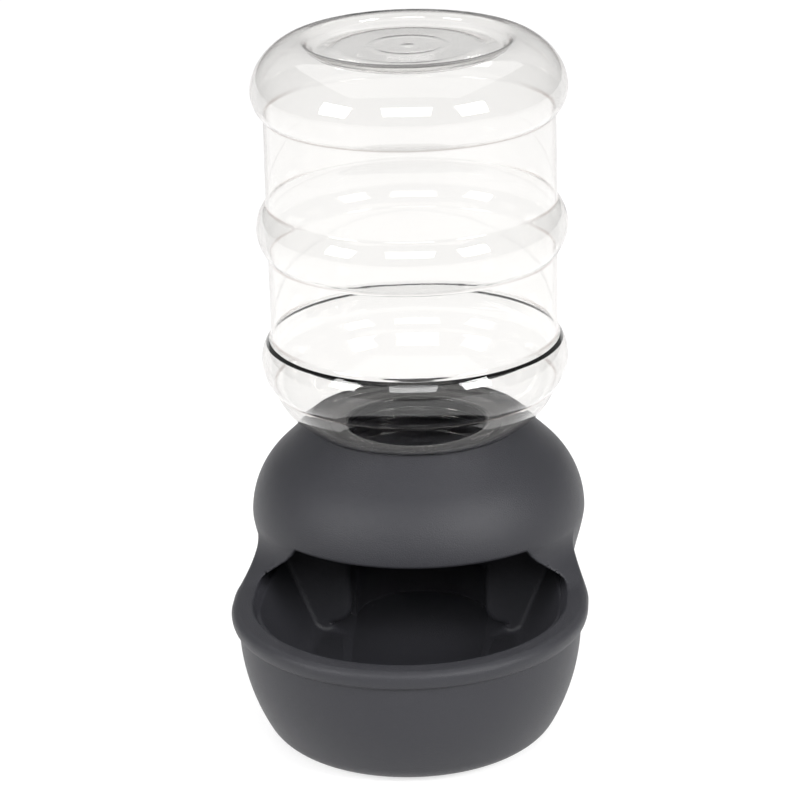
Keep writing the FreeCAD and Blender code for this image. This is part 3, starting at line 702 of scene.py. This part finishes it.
def crease_group():
    """Thin level lines at the bottle's creases, 1 on the line and falling to 0 at its edge; the mask of the
    painted crease shade.
    """
    group = bpy.data.node_groups.new("bottle_creases", "ShaderNodeTree")
    group.interface.new_socket("Line", in_out="OUTPUT", socket_type="NodeSocketFloat")
    nodes, links = group.nodes, group.links
    where = nodes.new("ShaderNodeTexCoord")
    split = nodes.new("ShaderNodeSeparateXYZ")
    links.new(where.outputs["Object"], split.inputs["Vector"])
    last = None
    for height in CREASES:
        away = nodes.new("ShaderNodeMath")
        away.operation = "SUBTRACT"
        away.inputs[1].default_value = height * MM
        size = nodes.new("ShaderNodeMath")
        size.operation = "ABSOLUTE"
        near = nodes.new("ShaderNodeMapRange")
        near.inputs["From Max"].default_value = CREASE_LINE * MM
        near.inputs["To Min"].default_value = 1.0
        near.inputs["To Max"].default_value = 0.0
        links.new(split.outputs["Z"], away.inputs[0])
        links.new(away.outputs[0], size.inputs[0])
        links.new(size.outputs[0], near.inputs["Value"])
        if last is None:
            last = near.outputs["Result"]
            continue
        most = nodes.new("ShaderNodeMath")
        most.operation = "MAXIMUM"
        links.new(last, most.inputs[0])
        links.new(near.outputs["Result"], most.inputs[1])
        last = most.outputs[0]
    result = nodes.new("NodeGroupOutput")
    links.new(last, result.inputs["Line"])
    return group


def tint_with_painted_shade(nodes, links):
    """Colour of the clear plastic with painted shade: a faint tint, darker where the wall slants away and on
    the creases at the sides.
    """
    facing = nodes.new("ShaderNodeLayerWeight")
    facing.inputs["Blend"].default_value = 0.5
    slant = nodes.new("ShaderNodeMapRange")
    slant.interpolation_type = "SMOOTHSTEP"
    slant.inputs["From Min"].default_value = 0.74
    slant.inputs["From Max"].default_value = 1.0
    tint_and_slant_shade = nodes.new("ShaderNodeMix")
    tint_and_slant_shade.data_type = "RGBA"
    tint_and_slant_shade.inputs["A"].default_value = (0.915, 0.909, 0.900, 1)
    # B is painted shade: the wall darkens where it slants away from view, in place of the dark reflections
    # along the bottle's edges.
    tint_and_slant_shade.inputs["B"].default_value = (0.55, 0.46, 0.44, 1)
    flank = nodes.new("ShaderNodeMapRange")
    flank.inputs["From Min"].default_value = 0.3
    flank.inputs["From Max"].default_value = 0.55
    bands = nodes.new("ShaderNodeGroup")
    bands.node_tree = crease_group()
    line = nodes.new("ShaderNodeMath")
    line.operation = "MULTIPLY"
    tint_and_crease_shade = nodes.new("ShaderNodeMix")
    tint_and_crease_shade.data_type = "RGBA"
    # B is painted shade on the creases where they turn to the sides, in place of their dark reflections.
    tint_and_crease_shade.inputs["B"].default_value = (0.47, 0.39, 0.365, 1)
    links.new(facing.outputs["Facing"], slant.inputs["Value"])
    links.new(facing.outputs["Facing"], flank.inputs["Value"])
    links.new(flank.outputs["Result"], line.inputs[0])
    links.new(bands.outputs["Line"], line.inputs[1])
    links.new(slant.outputs["Result"], tint_and_slant_shade.inputs["Factor"])
    links.new(line.outputs[0], tint_and_crease_shade.inputs["Factor"])
    links.new(tint_and_slant_shade.outputs["Result"], tint_and_crease_shade.inputs["A"])
    return tint_and_crease_shade.outputs["Result"]


def flow_lines(nodes, links):
    """Normal of the clear plastic: faint streaks that run up the bottle."""
    where = nodes.new("ShaderNodeTexCoord")
    stretch = nodes.new("ShaderNodeMapping")
    stretch.inputs["Scale"].default_value = (1.0, 1.0, 0.12)
    flow = nodes.new("ShaderNodeTexNoise")
    flow.inputs["Scale"].default_value = 60.0
    flow.inputs["Detail"].default_value = 2.0
    bump = nodes.new("ShaderNodeBump")
    bump.inputs["Strength"].default_value = 0.12
    bump.inputs["Distance"].default_value = 0.0006
    links.new(where.outputs["Object"], stretch.inputs["Vector"])
    links.new(stretch.outputs["Vector"], flow.inputs["Vector"])
    links.new(flow.outputs["Fac"], bump.inputs["Height"])
    return bump.outputs["Normal"]


def clear_plastic():
    """Clear blown plastic: painted shade darkens its slanting edges and its creases, and flow lines run up
    it.
    """
    material = bpy.data.materials.new("clear_bottle")
    material.use_nodes = True
    nodes, links = material.node_tree.nodes, material.node_tree.links
    shader = nodes["Principled BSDF"]
    shader.inputs["Transmission Weight"].default_value = 1.0
    shader.inputs["IOR"].default_value = 1.45
    shader.inputs["Roughness"].default_value = 0.03
    links.new(tint_with_painted_shade(nodes, links), shader.inputs["Base Color"])
    links.new(flow_lines(nodes, links), shader.inputs["Normal"])
    return material


# Set

def make_camera():
    """Camera at the photograph's angle, distance, lens and slight roll."""
    pitch, azimuth = math.radians(PITCH_DEG), math.radians(AZIMUTH_DEG)
    back = CAMERA_RANGE * math.cos(pitch)
    x = -AIM_LEFT * math.cos(azimuth) + back * math.sin(azimuth)
    y = AXIS_Y - AIM_LEFT * math.sin(azimuth) - back * math.cos(azimuth)
    z = AIM_Z + CAMERA_RANGE * math.sin(pitch)
    data = bpy.data.cameras.new("camera")
    data.sensor_width = 36.0
    data.lens = FOCAL_PX * 36.0 / FRAME_PX
    data.clip_start = 0.05
    data.clip_end = 20.0
    camera = bpy.data.objects.new("camera", data)
    turn = Euler((math.pi / 2 - pitch, 0, azimuth)).to_matrix().to_4x4()
    roll = Matrix.Rotation(math.radians(-ROLL_DEG), 4, "Z")
    camera.matrix_world = Matrix.Translation(Vector((x, y, z)) * MM) @ turn @ roll
    bpy.context.collection.objects.link(camera)
    bpy.context.scene.camera = camera


def softbox(name, place, size, power):
    """Rectangular area light at a place in metres, turned to the object's middle."""
    data = bpy.data.lights.new(name, "AREA")
    data.shape = "RECTANGLE"
    data.size, data.size_y = size
    data.energy = power
    light = bpy.data.objects.new(name, data)
    aim = Vector((0, 0.02, 0.15)) - Vector(place)
    light.matrix_world = Matrix.Translation(place) @ aim.to_track_quat("-Z", "Y").to_matrix().to_4x4()
    bpy.context.collection.objects.link(light)


def make_set():
    """Pale floor that glows a little, even pale surroundings, four softboxes, and plain display colours."""
    mesh = bpy.data.meshes.new("floor")
    far = 6.0
    mesh.from_pydata([(-far, -far, 0), (far, -far, 0), (far, far, 0), (-far, far, 0)], [], [(0, 1, 2, 3)])
    floor = bpy.data.objects.new("floor", mesh)
    bpy.context.collection.objects.link(floor)
    paper = bpy.data.materials.new("pale_floor")
    paper.use_nodes = True
    shader = paper.node_tree.nodes["Principled BSDF"]
    shader.inputs["Base Color"].default_value = (0.4, 0.4, 0.4, 1)
    shader.inputs["Emission Color"].default_value = (1, 1, 1, 1)
    shader.inputs["Emission Strength"].default_value = 0.68
    shader.inputs["Roughness"].default_value = 0.9
    shader.inputs["Specular IOR Level"].default_value = 0.1
    mesh.materials.append(paper)
    world = bpy.data.worlds.new("studio")
    world.use_nodes = True
    world.node_tree.nodes["Background"].inputs["Color"].default_value = (1, 1, 1, 1)
    world.node_tree.nodes["Background"].inputs["Strength"].default_value = 0.34
    bpy.context.scene.world = world
    softbox("left_softbox", (-1.40, -1.05, 0.98), (0.7, 0.7), 25)
    softbox("right_softbox", (1.38, -1.05, 1.04), (0.7, 0.7), 36)
    softbox("front_softbox", (0.1, -2.6, 1.8), (1.8, 1.0), 34)
    softbox("top_softbox", (0.0, 0.4, 3.0), (4.4, 4.4), 56)
    bpy.context.scene.view_settings.view_transform = "Standard"


def dress(piece, body, nodes, material):
    """Gives a piece its body and its material, and hides the solids that it stands for."""
    piece.data.materials.clear()
    piece.data.materials.append(material)
    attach(piece, body)
    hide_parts(*nodes)


make_camera()
make_set()
grain = grain_group()
slate_dark, slate_light = (0.0236, 0.0238, 0.0281), (0.0275, 0.0277, 0.0322)
slate = plastic("slate_moulded", slate_dark, slate_light, 0.41, 1500.0, 0.7, grain)
rubber = plastic("foot_moulded", (0.012, 0.012, 0.012), (0.02, 0.02, 0.02), 0.75, 900.0, 0.5, grain)
seal = plastic("seal_moulded", (0.05, 0.05, 0.052), (0.07, 0.07, 0.072), 0.6, 1100.0, 0.3, grain)

dress(make_base(), "base", ["base"], slate)
dress(make_bottle(), "bottle", ["bottle"], clear_plastic())
for name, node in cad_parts.items():
    material = {"neck": seal, "foot": rubber}.get(name.split("_")[0])
    if material:
        for slot in node.material_slots:
            slot.material = material
